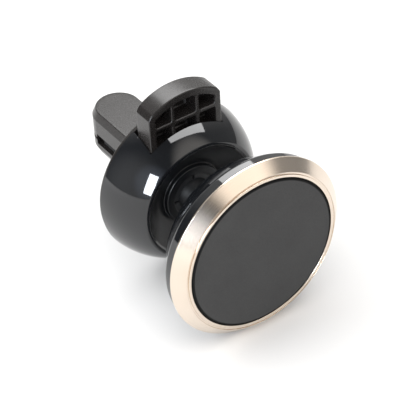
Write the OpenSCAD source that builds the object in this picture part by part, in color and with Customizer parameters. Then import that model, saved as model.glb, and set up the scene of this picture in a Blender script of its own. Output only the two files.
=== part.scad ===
// Car phone mount: a magnetic pad on a ball joint, held in an air vent by a sprung clip.
// Lengths are in millimetres, +Z is up, and the clip points along +Y.
// The origin is the middle of the clip's grip, between its two rubber pads.

/* [Pad and ring] */
// Outer diameter of the trim ring
ring_d = 40; // [39:0.1:41]
// Depth of the trim ring, from its lip to its back face
ring_depth = 2.75; // [2.7:0.05:3]
// Diameter of the rubber pad
pad_d = 33.2; // [32:0.1:33.4]
// Thickness of the rubber pad
pad_t = 1.2; // [1.1:0.1:1.3]
// Height of the pad above the ring's lip
pad_proud = 0.15; // [0.1:0.05:0.25]

/* [Head] */
// Radius of the straight band behind the ring
band_r = 19.4; // [19.3:0.05:19.6]
// Depth of the band's back edge behind the pad's face, where the dome begins
band_back_y = 5.1; // [5:0.1:5.3]
// Depth of the dome's tip behind the pad's face
dome_depth = 17; // [16.7:0.05:17.1]
// Wall of the dome
dome_wall = 1.6; // [1.4:0.1:1.8]
// Diameter of one magnet
magnet_d = 8; // [7:0.5:8]
// Number of magnets
magnet_count = 6; // [4:1:6]
// Radius of the circle that the magnets lie on
magnet_circle_r = 10; // [9.8:0.1:10.2]

/* [Ball joint] */
// Radius of the ball
ball_r = 4; // [3.9:0.05:4.05]
// Depth of the ball's centre behind the pad's face
ball_y = 25; // [24.9:0.05:25.1]
// Outer radius of the liner around the ball
liner_r = 5; // [4.9:0.05:5.05]
// Radius of the neck between the ball and the head
neck_r = 2.5; // [2.2:0.1:2.6]

/* [Body] */
// Radius of the bowl-shaped body
bowl_r = 17.8; // [17.7:0.05:18.2]
// Depth of the bowl's centre behind the pad's face
bowl_y = 32.8; // [32.7:0.05:32.9]
// Depth of the bowl's front rim behind the pad's face
rim_y = 20.9; // [20.8:0.05:21]
// Wall of the bowl
bowl_wall = 1.6; // [1.5:0.1:1.8]
// Radius of the dish in the bowl's front
dish_lip_r = 12.6; // [12.4:0.1:12.8]
// Depth of that dish
dish_depth = 5; // [4.8:0.1:5.1]

/* [Lever] */
// Width of the thumb lever
lever_w = 17; // [16.6:0.1:17.1]
// Thickness of the thumb lever, from front to rear
lever_t = 4.9; // [4.7:0.1:5]
// Height of the lever's crown above the bowl's axis
lever_top = 24.4; // [23.5:0.1:25.5]
// Radius of the lever's arched top
lever_arch_r = 14; // [13:0.5:16]

/* [Clip] */
// Width of each jaw
jaw_w = 11; // [10.6:0.1:11.6]
// Length of the jaws behind the cover
jaw_len = 25; // [23:0.1:27]
// Height of the jaws' parting plane above the bowl's axis
jaw_mid = 0; // [-0.05:0.05:0.1]
// Thickness of the upper jaw at its tip
upper_jaw_t = 6.2; // [5.8:0.1:6.5]
// Thickness of the lower jaw at its tip
lower_jaw_t = 3.8; // [3.5:0.1:3.9]
// Gap between the closed jaws at their tips
tip_gap = 0.4; // [0.3:0.05:0.6]
// Depth of the step behind each jaw's tip, which leaves room for its pad
pad_step = 1; // [0.9:0.05:1.1]

/* [Hidden] */
$fn = 96;
big = 60;
eps = 0.02;
run = 0.03;

// Colours
black_gloss = "#15161a";
black_lever = "#3a3533";
rubber_grey = "#3f4042";
gold = "#e7cfb1";
steel = "#b9bcc0";
inner_plastic = "#2b2d30";
magnet_grey = "#8f9296";

// Depths behind the pad's face
lip_y = pad_proud;
ring_back_y = ring_depth;
tray_y = pad_t + 0.2;
magnet_y = tray_y + 0.2;
magnet_t = 3;
yoke_y = magnet_y + magnet_t;
yoke_t = 1;
yoke_back_y = yoke_y + yoke_t;
shell_back_y = 30.9;
cover_t = 0.95;
cover_back_y = shell_back_y + cover_t;
jaw_tip_y = cover_back_y + jaw_len;
lever_y = 24.9;
lever_back_y = lever_y + lever_t;

// The origin: the middle of the grip pads
grip_pad_y = 41.3;
grip_pad_len = 9.4;
grip_y = grip_pad_y + grip_pad_len / 2;
grip_z = jaw_mid;

// Ring and pad
ring_r = ring_d / 2;
ring_bore_r = 16.75;
lip_w = 0.6;
groove_w = 0.35;
groove_depth = 0.3;
ring_edge_h = 0.3;
spigot_r = band_r - dome_wall - run;
spigot_len = 0.95;
pad_r = pad_d / 2;
pad_edge = 0.45;
film_r = 16.2;

// Dome
dome_h = dome_depth - band_back_y;
dome_r = (band_r * band_r + dome_h * dome_h) / (2 * dome_h);
dome_y = dome_depth - dome_r;
hub_r = 4.2;
hub_back_y = 17.2;
hub_front_y = 13.6;
hub_in_r = 3.8;

// Tray, magnets and yoke
tray_r = 16.3;
yoke_r = 15.7;
tray_screw_r = 14.4;
tray_screw_count = 3;
tray_boss_r = 1.9;
tray_boss_back_y = 11.6;
small_screw_r = 0.8;
small_head_r = 1.5;
small_head_h = 0.8;
screw_clear = 0.1;

// Stud
journal_r = 1.8;
journal_front_y = 13.5;
washer_t = 0.2;
washer_r = 3;
stud_head_r = 1.6;
stud_head_h = 1.1;
stud_screw_len = 3;

// Socket in the body
socket_r = 6.6;
socket_front_y = 23.4;
socket_back_y = 30.6;
socket_bore_r = liner_r + 0.15;
seat_r = liner_r + run;
liner_front_y = ball_y - 1.5;
liner_back_y = ball_y + 2.8;
slit_w = 0.5;
slit_back_y = ball_y + 0.8;
cup_front_y = ball_y + 1.6;
cup_back_y = 28.5;
cup_bore_r = 2.4;
seat_ring_y = 30;
seat_ring_bore_r = 3;
coil_wire_r = 0.22;
coil_turns = 2;
coil_r = 4.2;

// Bowl
bowl_in_r = bowl_r - bowl_wall;
dish_r = (dish_lip_r * dish_lip_r + dish_depth * dish_depth) / (2 * dish_depth);
dish_y = rim_y + dish_depth - dish_r;
slot_half_w = 8.7;
slot_front_y = 24.8;
slot_floor_z = 10.5;

// Cover
cover_r = 17.45;
cover_edge = 0.25;
register_r = 15.6;
register_wall = 0.9;
register_h = 1;
register_gap_x = 9.3;
cover_screw_spots = [[11.8, 4.5], [-11.8, 4.5], [6.5, -10.5], [-6.5, -10.5]];
cover_boss_r = 1.9;
cover_boss_y = 23;
cover_screw_r = 0.9;
cover_screw_len = 5.5;
cover_head_r = 1.6;
cover_head_h = 0.55;
notch_half_w = 6.5;
notch_floor_z = 15.4;
arm_slot_in = 6.7;
arm_slot_out = 8.8;
arm_slot_low = -0.4;
arm_slot_high = 10.6;

// Pivot of the lever
pivot_y = 28.5;
pivot_z = 9.5;
pin_r = 1;
pin_len = 16.4;
pin_bore_r = pin_r + 0.04;
pivot_boss_r = 2.2;
ear_in = 4.6;
ear_out = 6.7;
ear_low = 7.3;

// Lever
cheek_in = 7;
cheek_out = lever_w / 2;
lever_floor_z = 12.5;
lever_corner_x = cheek_out - 0.7;
lever_corner_drop = 1.1;
arch_z = lever_top - lever_arch_r;
corner_z = arch_z + sqrt(lever_arch_r * lever_arch_r - lever_corner_x * lever_corner_x);
cell_depth = 3.7;
cell_floor_z = 13.7;
cell_side = 1.3;
cell_arch = 1.7;
rib_w = 0.8;
rib_x = 2.9;
rib_z = 18.2;
arm_front_y = 34.1;
arm_back_y = 36.9;
arm_low_z = jaw_mid - tip_gap / 2 - lower_jaw_t;

// Jaws
jaw_r = jaw_w / 2;
bevel_w = 0.8;
bevel_h = 1.7;
jaw_tip_len = 5.2;
upper_low_z = jaw_mid + tip_gap / 2;
upper_high_z = upper_low_z + upper_jaw_t;
lower_high_z = jaw_mid - tip_gap / 2;
pad_w = 9;
grip_pad_t = 0.8;

// Return spring
wire_r = 0.2;
spring_r = 1.48;
spring_turns = 6;
spring_half_len = 2.7;
spring_leg_top_z = 13.4;
spring_leg_foot_z = 6.7;
spring_leg_y = 30.08;
spring_foot_y = 30.65;
wire_sides = 8;
steps_per_turn = 16;

// Moves what is drawn behind the pad's face, on the head's axis, into the part's frame
module place() {
    translate([0, -grip_y, -grip_z]) children();
}

// Turns a solid that stands on Z so that it runs rearward from depth y
module rearward(y) {
    translate([0, y, 0]) rotate([-90, 0, 0]) children();
}

// Round bar along Y, from depth y0 to depth y1
module bar(r, y0, y1) {
    rearward(y0) cylinder(r = r, h = y1 - y0);
}

// Hollow round bar along Y
module pipe(r_out, r_in, y0, y1) {
    difference() {
        bar(r_out, y0, y1);
        bar(r_in, y0 - 1, y1 + 1);
    }
}

// Ball on the axis at depth y
module ball(r, y) {
    translate([0, y, 0]) sphere(r = r);
}

// Everything from depth y0 to depth y1
module slab(y0, y1) {
    translate([-big / 2, y0, -big / 2]) cube([big, y1 - y0, big]);
}

// Copies spread round the head's axis
module around(count, r, first = 0) {
    for (i = [0 : count - 1]) rotate([0, first + i * 360 / count, 0]) translate([r, 0, 0]) children();
}

// Copies at each spot of a list, in the plane across the axis
module at_spots(spots) {
    for (s = spots) translate([s[0], 0, s[1]]) children();
}

// Both sides of the middle plane
module both_sides() {
    children();
    mirror([1, 0, 0]) children();
}

// Round wire swept along a list of points, with both ends closed
function unit(v) = v / norm(v);
function path_dir(p, i) = unit(p[min(i + 1, len(p) - 1)] - p[max(i - 1, 0)]);
function side_of(d) = unit(cross(d, abs(d[0]) > 0.9 ? [0, 0, 1] : [1, 0, 0]));
function ring_point(c, d, r, a) = c + r * (cos(a) * side_of(d) + sin(a) * cross(d, side_of(d)));

module wire(path, r) {
    n = len(path);
    m = wire_sides;
    points = [
        for (i = [0 : n - 1], k = [0 : m - 1])
            ring_point(path[i], path_dir(path, i), r, k * 360 / m)
    ];
    start_cap = [for (k = [0 : m - 1]) k];
    end_cap = [for (k = [m - 1 : -1 : 0]) (n - 1) * m + k];
    sides = [
        for (i = [0 : n - 2], k = [0 : m - 1])
            [i * m + k, (i + 1) * m + k, (i + 1) * m + (k + 1) % m, i * m + (k + 1) % m]
    ];
    polyhedron(points, concat([start_cap, end_cap], sides), convexity = 10);
}

// Screw along Y: its head is at depth y and its shank runs rearward
module screw_rearward(y, head_r, head_h, shank_r, len) {
    difference() {
        bar(head_r, y, y + head_h);
        translate([-head_r, y - eps, -slit_w / 2]) cube([2 * head_r, head_h / 2 + eps, slit_w]);
    }
    bar(shank_r, y + head_h - eps, y + head_h + len);
}

// Jaw between two heights: straight sides, a half-round tip and a bevel along the top or bottom edge
module jaw(y0, low_z, high_z, bevel_top) {
    low_w = bevel_top ? jaw_r : jaw_r - bevel_w;
    high_w = bevel_top ? jaw_r - bevel_w : jaw_r;
    side_low_z = bevel_top ? low_z : low_z + bevel_h;
    side_high_z = bevel_top ? high_z - bevel_h : high_z;
    tip_y = jaw_tip_y - jaw_r;
    half = [[low_w, low_z], [jaw_r, side_low_z], [jaw_r, side_high_z], [high_w, high_z]];
    other_half = [[-high_w, high_z], [-jaw_r, side_high_z], [-jaw_r, side_low_z], [-low_w, low_z]];
    translate([0, tip_y, 0]) rotate_extrude(angle = 180) {
        polygon(concat([[0, low_z]], half, [[0, high_z]]));
    }
    translate([0, tip_y, 0]) rotate([90, 0, 0]) linear_extrude(tip_y - y0) {
        polygon(concat(half, other_half));
    }
}

// Grip pad between two heights
module grip_pad(low_z) {
    translate([-pad_w / 2, grip_pad_y, low_z]) cube([pad_w, grip_pad_len, grip_pad_t]);
}

// ---- Body ----

module bowl_wall_solid() {
    difference() {
        intersection() {
            ball(bowl_r, bowl_y);
            slab(rim_y, shell_back_y);
        }
        difference() {
            ball(bowl_in_r, bowl_y);
            ball(dish_r + bowl_wall, dish_y);
        }
        ball(dish_r, dish_y);
    }
}

module body_shell() {
    color(black_gloss) place() difference() {
        union() {
            bowl_wall_solid();
            bar(socket_r, socket_front_y, socket_back_y);
            at_spots(cover_screw_spots) bar(cover_boss_r, cover_boss_y, shell_back_y);
        }
        translate([-slot_half_w, slot_front_y, slot_floor_z]) cube([2 * slot_half_w, big, big]);
        ball(seat_r, ball_y);
        bar(socket_bore_r, ball_y, big);
        at_spots(cover_screw_spots) bar(cover_screw_r, shell_back_y - cover_screw_len, big);
    }
}

module cover_plate() {
    bar(cover_r, shell_back_y, cover_back_y - cover_edge);
    rearward(cover_back_y - cover_edge) cylinder(r1 = cover_r, r2 = cover_r - cover_edge, h = cover_edge);
    difference() {
        pipe(register_r, register_r - register_wall, shell_back_y - register_h, shell_back_y + eps);
        translate([-register_gap_x, 0, 0]) cube([2 * register_gap_x, big, big]);
    }
}

module pivot_ear() {
    translate([ear_in, 0, 0]) {
        translate([0, pivot_y, pivot_z]) rotate([0, 90, 0]) cylinder(r = pivot_boss_r, h = ear_out - ear_in);
        translate([0, pivot_y, ear_low]) {
            cube([ear_out - ear_in, shell_back_y - pivot_y + eps, 2 * pivot_boss_r]);
        }
    }
}

module upper_jaw() {
    difference() {
        jaw(cover_back_y - eps, upper_low_z, upper_high_z, true);
        translate([-jaw_w, 0, upper_low_z - 1]) cube([2 * jaw_w, jaw_tip_y - jaw_tip_len, 1 + pad_step]);
    }
}

module clip_cover() {
    color(black_gloss) place() {
        difference() {
            union() {
                cover_plate();
                both_sides() pivot_ear();
            }
            translate([-big / 2, pivot_y, pivot_z]) rotate([0, 90, 0]) cylinder(r = pin_r, h = big);
            both_sides() translate([arm_slot_in, ear_low / 2, arm_slot_low]) {
                cube([arm_slot_out - arm_slot_in, big, arm_slot_high - arm_slot_low]);
            }
            translate([-notch_half_w, 0, notch_floor_z]) cube([2 * notch_half_w, big, big]);
            at_spots(cover_screw_spots) {
                bar(cover_screw_r + screw_clear, 0, big);
                bar(cover_head_r + screw_clear, cover_back_y - cover_head_h, big);
            }
        }
        upper_jaw();
    }
}

module cover_screws() {
    color(steel) place() at_spots(cover_screw_spots) {
        translate([0, 2 * cover_back_y, 0]) mirror([0, 1, 0]) {
            screw_rearward(cover_back_y, cover_head_r, cover_head_h, cover_screw_r - run, cover_screw_len);
        }
    }
}

module upper_pad() {
    color(rubber_grey) place() grip_pad(upper_low_z + pad_step - grip_pad_t);
}

module pivot_pin() {
    color(steel) place() {
        translate([-pin_len / 2, pivot_y, pivot_z]) rotate([0, 90, 0]) cylinder(r = pin_r, h = pin_len);
    }
}

module return_spring() {
    coil = [
        for (i = [0 : spring_turns * steps_per_turn])
            [
                spring_half_len * (2 * i / (spring_turns * steps_per_turn) - 1),
                pivot_y + spring_r * cos(360 * i / steps_per_turn),
                pivot_z + spring_r * sin(360 * i / steps_per_turn)
            ]
    ];
    foot = [
        [-spring_half_len, spring_foot_y, spring_leg_foot_z],
        [-spring_half_len, spring_leg_y, pivot_z - spring_r]
    ];
    leg = [
        [spring_half_len, spring_leg_y, pivot_z + spring_r],
        [spring_half_len, spring_leg_y, spring_leg_top_z]
    ];
    color(steel) place() wire(concat(foot, coil, leg), wire_r);
}

module seat_cup() {
    color(inner_plastic) place() difference() {
        bar(socket_bore_r - run, cup_front_y, cup_back_y);
        ball(seat_r, ball_y);
        bar(cup_bore_r, 0, big);
    }
}

module pressure_spring() {
    count = coil_turns * steps_per_turn;
    low_y = cup_back_y + coil_wire_r + eps;
    high_y = seat_ring_y - coil_wire_r - eps;
    path = [
        for (i = [0 : count])
            [
                coil_r * cos(360 * i / steps_per_turn),
                low_y + (high_y - low_y) * i / count,
                coil_r * sin(360 * i / steps_per_turn)
            ]
    ];
    color(steel) place() wire(path, coil_wire_r);
}

module seat_ring() {
    color(inner_plastic) place() pipe(socket_bore_r, seat_ring_bore_r, seat_ring_y, socket_back_y);
}

// ---- Lever ----

module lever_outline(inset, arch_inset, floor_z) {
    half = cheek_out - inset;
    r = lever_arch_r - arch_inset;
    intersection() {
        translate([0, arch_z]) circle(r = r);
        polygon([
            [-half, floor_z], [half, floor_z],
            [half, corner_z - lever_corner_drop - arch_inset + inset],
            [lever_corner_x - inset, corner_z + eps - arch_inset + inset], [0, lever_top + 1],
            [-lever_corner_x + inset, corner_z + eps - arch_inset + inset],
            [-half, corner_z - lever_corner_drop - arch_inset + inset]
        ]);
    }
}

module lever_block() {
    difference() {
        translate([0, lever_back_y, 0]) rotate([90, 0, 0]) linear_extrude(lever_t) {
            lever_outline(0, 0, lever_floor_z);
        }
        translate([0, lever_y + cell_depth, 0]) rotate([90, 0, 0]) linear_extrude(big) difference() {
            lever_outline(cell_side, cell_arch, cell_floor_z);
            translate([-cheek_out, rib_z - rib_w / 2]) square([lever_w, rib_w]);
            for (x = [-rib_x, rib_x]) translate([x - rib_w / 2, 0]) square([rib_w, big]);
        }
    }
}

module lever_cheek() {
    translate([cheek_in, 0, 0]) rotate([90, 0, 90]) linear_extrude(cheek_out - cheek_in) {
        polygon([
            [lever_y + 0.5, lever_floor_z + eps], [pivot_y - 2, pivot_z - 0.8],
            [arm_front_y - 0.4, arm_low_z + 4], [arm_front_y, arm_low_z], [arm_back_y, arm_low_z],
            [arm_back_y, arm_low_z + 5.2], [pivot_y + 1.4, pivot_z + 1.6],
            [lever_back_y, lever_floor_z + eps]
        ]);
    }
    translate([cheek_in, pivot_y, pivot_z]) rotate([0, 90, 0]) {
        cylinder(r = pivot_boss_r, h = cheek_out - cheek_in);
    }
}

module lower_jaw() {
    difference() {
        jaw(arm_front_y, arm_low_z, lower_high_z, false);
        translate([-jaw_w, 0, lower_high_z - pad_step]) {
            cube([2 * jaw_w, jaw_tip_y - jaw_tip_len, 1 + pad_step]);
        }
    }
    translate([-cheek_out, arm_front_y, arm_low_z]) {
        cube([lever_w, arm_back_y - arm_front_y, lower_jaw_t - pad_step]);
    }
}

module release_lever() {
    color(black_lever) place() difference() {
        union() {
            lever_block();
            both_sides() lever_cheek();
            lower_jaw();
        }
        translate([-big / 2, pivot_y, pivot_z]) rotate([0, 90, 0]) cylinder(r = pin_bore_r, h = big);
    }
}

module lower_pad() {
    color(rubber_grey) place() grip_pad(lower_high_z - pad_step);
}

// ---- Ball joint ----

module swivel_liner() {
    color(inner_plastic) place() difference() {
        intersection() {
            ball(liner_r, ball_y);
            slab(liner_front_y, liner_back_y);
        }
        ball(ball_r + run, ball_y);
        for (a = [0, 90]) rotate([0, a, 0]) translate([-slit_w / 2, 0, -big / 2]) {
            cube([slit_w, slit_back_y, big]);
        }
    }
}

module ball_stud() {
    color(black_gloss) place() difference() {
        union() {
            ball(ball_r, ball_y);
            bar(neck_r, hub_back_y + screw_clear / 2, ball_y);
            bar(journal_r, journal_front_y, ball_y);
        }
        bar(small_screw_r + run, 0, journal_front_y + stud_screw_len + 0.5);
    }
}

module stud_washer() {
    color(steel) place() {
        pipe(washer_r, small_screw_r + screw_clear, journal_front_y - washer_t, journal_front_y);
    }
}

module stud_screw() {
    head_y = journal_front_y - washer_t - stud_head_h;
    color(steel) place() screw_rearward(head_y, stud_head_r, stud_head_h, small_screw_r, stud_screw_len);
}

// ---- Head ----

module dome_solid(inset, front_y) {
    intersection() {
        ball(dome_r - inset, dome_y);
        bar(band_r - inset, front_y, dome_depth + 1);
    }
}

module head_shell() {
    color(black_gloss) place() difference() {
        union() {
            difference() {
                dome_solid(0, ring_back_y);
                dome_solid(dome_wall, 0);
            }
            intersection() {
                ball(dome_r - dome_wall / 2, dome_y);
                around(tray_screw_count, tray_screw_r, 30) bar(tray_boss_r, yoke_back_y, tray_boss_back_y);
            }
            bar(hub_r, dome_depth - dome_wall + eps, hub_back_y);
            bar(hub_in_r, hub_front_y, hub_back_y - eps);
        }
        bar(journal_r + 2 * run, 0, big);
        around(tray_screw_count, tray_screw_r, 30) bar(small_screw_r + run, 0, yoke_back_y + 2);
    }
}

module trim_ring() {
    color(gold) place() rearward(0) rotate_extrude() {
        polygon([
            [ring_bore_r, lip_y + 0.1], [ring_bore_r + 0.1, lip_y], [ring_bore_r + lip_w, lip_y],
            [ring_bore_r + lip_w, lip_y + groove_depth],
            [ring_bore_r + lip_w + groove_w, lip_y + groove_depth],
            [ring_bore_r + lip_w + groove_w, lip_y + 0.1],
            [ring_r, ring_back_y - ring_edge_h], [ring_r, ring_back_y - 0.05], [ring_r - 0.05, ring_back_y],
            [spigot_r, ring_back_y], [spigot_r, ring_back_y + spigot_len],
            [ring_bore_r, ring_back_y + spigot_len]
        ]);
    }
}

module face_pad() {
    color(rubber_grey) place() {
        rearward(0) cylinder(r1 = pad_r - pad_edge, r2 = pad_r, h = pad_edge);
        bar(pad_r, pad_edge - eps, pad_t);
    }
}

module pad_adhesive() {
    color("white") place() bar(film_r, pad_t, tray_y);
}

module magnet_tray() {
    color(inner_plastic) place() difference() {
        bar(tray_r, tray_y, yoke_y);
        around(magnet_count, magnet_circle_r) bar(magnet_d / 2 + 2 * run, magnet_y, big);
        around(tray_screw_count, tray_screw_r, 30) {
            bar(small_screw_r + screw_clear, 0, big);
            bar(small_head_r + screw_clear, 0, magnet_y + small_head_h + eps);
        }
    }
}

module magnets() {
    color(magnet_grey) place() around(magnet_count, magnet_circle_r) bar(magnet_d / 2, magnet_y, yoke_y);
}

module steel_yoke() {
    color(steel) place() difference() {
        bar(yoke_r, yoke_y, yoke_back_y);
        around(tray_screw_count, tray_screw_r, 30) bar(small_screw_r + screw_clear, 0, big);
    }
}

module tray_screws() {
    color(steel) place() around(tray_screw_count, tray_screw_r, 30) {
        screw_rearward(magnet_y, small_head_r, small_head_h, small_screw_r, yoke_back_y - magnet_y + 0.8);
    }
}

body_shell();
clip_cover();
cover_screws();
upper_pad();
pivot_pin();
return_spring();
seat_cup();
pressure_spring();
seat_ring();
release_lever();
lower_pad();
swivel_liner();
ball_stud();
stud_washer();
stud_screw();
head_shell();
trim_ring();
face_pad();
pad_adhesive();
magnet_tray();
magnets();
steel_yoke();
tray_screws();
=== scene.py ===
import math
import bmesh
import bpy
from mathutils import Matrix, Quaternion, Vector


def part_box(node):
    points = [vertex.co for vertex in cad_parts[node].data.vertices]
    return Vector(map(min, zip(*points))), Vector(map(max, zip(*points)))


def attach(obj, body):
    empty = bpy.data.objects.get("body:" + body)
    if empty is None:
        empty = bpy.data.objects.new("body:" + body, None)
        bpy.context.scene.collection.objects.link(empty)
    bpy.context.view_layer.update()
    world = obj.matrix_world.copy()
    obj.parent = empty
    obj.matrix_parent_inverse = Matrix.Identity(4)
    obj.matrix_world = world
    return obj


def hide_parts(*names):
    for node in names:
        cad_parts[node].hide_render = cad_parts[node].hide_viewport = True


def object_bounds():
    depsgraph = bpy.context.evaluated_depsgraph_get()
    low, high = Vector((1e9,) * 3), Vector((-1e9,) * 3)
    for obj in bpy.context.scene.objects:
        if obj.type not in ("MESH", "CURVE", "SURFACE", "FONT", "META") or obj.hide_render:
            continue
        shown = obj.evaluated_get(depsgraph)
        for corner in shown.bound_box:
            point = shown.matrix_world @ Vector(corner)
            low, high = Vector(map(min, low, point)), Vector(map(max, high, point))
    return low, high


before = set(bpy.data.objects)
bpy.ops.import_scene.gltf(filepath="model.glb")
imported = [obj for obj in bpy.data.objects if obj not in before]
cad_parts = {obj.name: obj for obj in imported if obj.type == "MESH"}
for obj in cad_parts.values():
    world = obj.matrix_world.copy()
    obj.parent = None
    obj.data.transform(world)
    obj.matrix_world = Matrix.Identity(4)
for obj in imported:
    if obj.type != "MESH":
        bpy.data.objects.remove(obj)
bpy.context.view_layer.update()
scene = bpy.context.scene
MM = 0.001

# ---------------------------------------------------------------- places, from the frame
# Depths are in millimetres behind the pad's face, heights and widths from the head's axis.
pad_low, pad_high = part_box("face_pad")
ring_low, ring_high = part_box("trim_ring")
FACE_Y = pad_low.y
AXIS_Z = (ring_low.z + ring_high.z) / 2


def depth_of(y):
    """A frame y, in metres, as a depth in millimetres behind the pad's face."""
    return (y - FACE_Y) / MM


def height_of(z):
    """A frame z, in metres, as a height in millimetres above the head's axis."""
    return (z - AXIS_Z) / MM


def point(x, depth, height):
    """A point of the frame, in metres, from its millimetres."""
    return Vector((x * MM, FACE_Y + depth * MM, AXIS_Z + height * MM))


PAD_R = (pad_high.x - pad_low.x) / 2 / MM
PAD_T = depth_of(pad_high.y)
RING_R = (ring_high.x - ring_low.x) / 2 / MM
RING_BORE_R = 16.75
LIP_Y = depth_of(ring_low.y)
RING_BACK_Y = 2.75

dome_low, dome_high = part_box("head_shell")
HUB_BACK_Y = depth_of(dome_high.y)
BAND_R = (dome_high.x - dome_low.x) / 2 / MM
BAND_BACK_Y = 5.1
DOME_TIP_Y = 17.0
DOME_H = DOME_TIP_Y - BAND_BACK_Y
DOME_R = (BAND_R**2 + DOME_H**2) / (2 * DOME_H)
DOME_Y = DOME_TIP_Y - DOME_R
DOME_WALL = 1.6
SPIGOT_R = BAND_R - DOME_WALL - 0.03
HUB_R = 4.2
HUB_BORE_R = 1.86
HUB_FRONT_Y = 13.6
HUB_IN_R = 3.8

shell_low, shell_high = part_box("body_shell")
RIM_Y = depth_of(shell_low.y)
SHELL_BACK_Y = depth_of(shell_high.y)
BOWL_R = 17.8
BOWL_Y = 32.8
BOWL_WALL = 1.6
DISH_LIP_R = 12.6
DISH_DEPTH = 5.0
DISH_R = (DISH_LIP_R**2 + DISH_DEPTH**2) / (2 * DISH_DEPTH)
DISH_Y = RIM_Y + DISH_DEPTH - DISH_R
SOCKET_R = 6.6
SOCKET_FRONT_Y = 23.4
SOCKET_BACK_Y = 30.6
SOCKET_BORE_R = 5.15
BALL_R = 4.0
BALL_Y = 25.0
NECK_R = 2.5
SEAT_R = 5.03
SLOT_HALF_W = 8.7
SLOT_FRONT_Y = 24.8
SLOT_FLOOR_Z = 10.5
SCREW_SPOTS = ((11.8, 4.5), (-11.8, 4.5), (6.5, -10.5), (-6.5, -10.5))
BOSS_R = 1.9
BOSS_Y = 23.0

cover_low, cover_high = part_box("clip_cover")
COVER_R = (cover_high.x - cover_low.x) / 2 / MM
COVER_BACK_Y = depth_of(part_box("cover_screws")[1].y)
JAW_TIP_Y = depth_of(cover_high.y)
JAW_R = 5.5
JAW_TIP_LEN = 5.2
PAD_STEP = 1.0
BEVEL_W, BEVEL_H = 0.8, 1.7
UPPER_LOW_Z = height_of(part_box("upper_pad")[0].z) - 0.2
UPPER_HIGH_Z = UPPER_LOW_Z + 6.2
LOWER_HIGH_Z = height_of(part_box("lower_pad")[1].z) + 0.2
COVER_SCREW_R = 1.6
COVER_SCREW_H = 0.55
REGISTER_R, REGISTER_IN_R = 15.6, 14.7
REGISTER_GAP_HALF_W = 9.3
NOTCH_HALF_W = 6.5
NOTCH_FLOOR_Z = 15.4
ARM_SLOT_X = (6.7, 8.8)
ARM_SLOT_Z = (-0.4, 10.6)

lever_low, lever_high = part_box("release_lever")
LEVER_HALF_W = (lever_high.x - lever_low.x) / 2 / MM
LEVER_TOP_Z = height_of(lever_high.z)
ARM_LOW_Z = height_of(lever_low.z)
LEVER_Y = depth_of(lever_low.y)
LEVER_BACK_Y = LEVER_Y + 4.9
LEVER_FLOOR_Z = 12.5
ARCH_R = 14.0
ARCH_Z = LEVER_TOP_Z - ARCH_R
CORNER_X = LEVER_HALF_W - 0.7
CORNER_DROP = 1.1
CHEEK_IN = 7.0
CELL_X = 7.0
CELL_RIB_X = 2.9
CELL_RIB_Z = 18.2
CELL_RIB = 0.4
CELL_FLOOR_Z = 13.7
CELL_ARCH_R = 12.3
CELL_DEPTH = 3.7
CELL_CORNER = 0.35
ARM_FRONT_Y = 34.1
ARM_BACK_Y = 36.9
PIVOT_Y = 28.5
PIVOT_Z = 9.5
PIN_R = 1.0
PIN_BORE_R = 1.04
EAR_IN, EAR_OUT = 4.6, 6.7
GRIP_FRONT_Y, GRIP_BACK_Y = 41.35, 50.65
GRIP_HALF_W = 4.45

# How far the cutting solids run past what they cut: to the sides, the front, the back and the top.
PAST_X, PAST_FRONT_Y, PAST_BACK_Y, PAST_TOP_Z = 9, 20, 40, 30
# Facets round a turned piece: the large ones at the front, most others, and screws and pins.
FACETS_LARGE, FACETS, FACETS_SMALL = 256, 192, 48


# ---------------------------------------------------------------- mesh helpers
def link(obj):
    scene.collection.objects.link(obj)
    return obj


def finish_mesh(obj, sharp=35):
    """Smooth faces with sharp edges above an angle, and flat faces kept flat."""
    for p in obj.data.polygons:
        p.use_smooth = True
    obj.data.set_sharp_from_angle(angle=math.radians(sharp))
    return obj


def weighted(obj):
    """Normals that follow the large faces, so that fillets shade cleanly."""
    m = obj.modifiers.new("normals", "WEIGHTED_NORMAL")
    m.keep_sharp = True
    m.weight = 60
    return obj


def new_object(name, verts, faces):
    mesh = bpy.data.meshes.new(name)
    mesh.from_pydata([tuple(v) for v in verts], [], faces)
    mesh.validate()
    bm = bmesh.new()
    bm.from_mesh(mesh)
    bmesh.ops.remove_doubles(bm, verts=bm.verts, dist=1e-7)
    bmesh.ops.recalc_face_normals(bm, faces=bm.faces)
    bm.to_mesh(mesh)
    bm.free()
    return link(bpy.data.objects.new(name, mesh))


def arc(centre, radius, start, end, count):
    """Points on an arc in the plane, angles in degrees."""
    steps = [math.radians(start + (end - start) * i / count) for i in range(count + 1)]
    return [(centre[0] + radius * math.cos(a), centre[1] + radius * math.sin(a)) for a in steps]


def rounded(corners, count=5, closed=True):
    """An outline from corners (u, v) or (u, v, fillet radius), with each fillet as an arc."""
    out = []
    n = len(corners)
    for i, c in enumerate(corners):
        r = c[2] if len(c) > 2 else 0
        here = Vector(c[:2])
        if r <= 0 or (not closed and i in (0, n - 1)):
            out.append(tuple(here))
            continue
        before = Vector(corners[i - 1][:2]) - here
        after = Vector(corners[(i + 1) % n][:2]) - here
        turn = before.angle(after)
        reach = min(r / math.tan(turn / 2), before.length * 0.49, after.length * 0.49)
        r = reach * math.tan(turn / 2)
        a = here + before.normalized() * reach
        b = here + after.normalized() * reach
        middle = here + (before.normalized() + after.normalized()).normalized() * (r / math.sin(turn / 2))
        start = math.atan2(a.y - middle.y, a.x - middle.x)
        sweep = math.atan2(b.y - middle.y, b.x - middle.x) - start
        sweep = (sweep + math.pi) % (2 * math.pi) - math.pi
        for k in range(count + 1):
            t = start + sweep * k / count
            out.append((middle.x + r * math.cos(t), middle.y + r * math.sin(t)))
    return out


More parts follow.
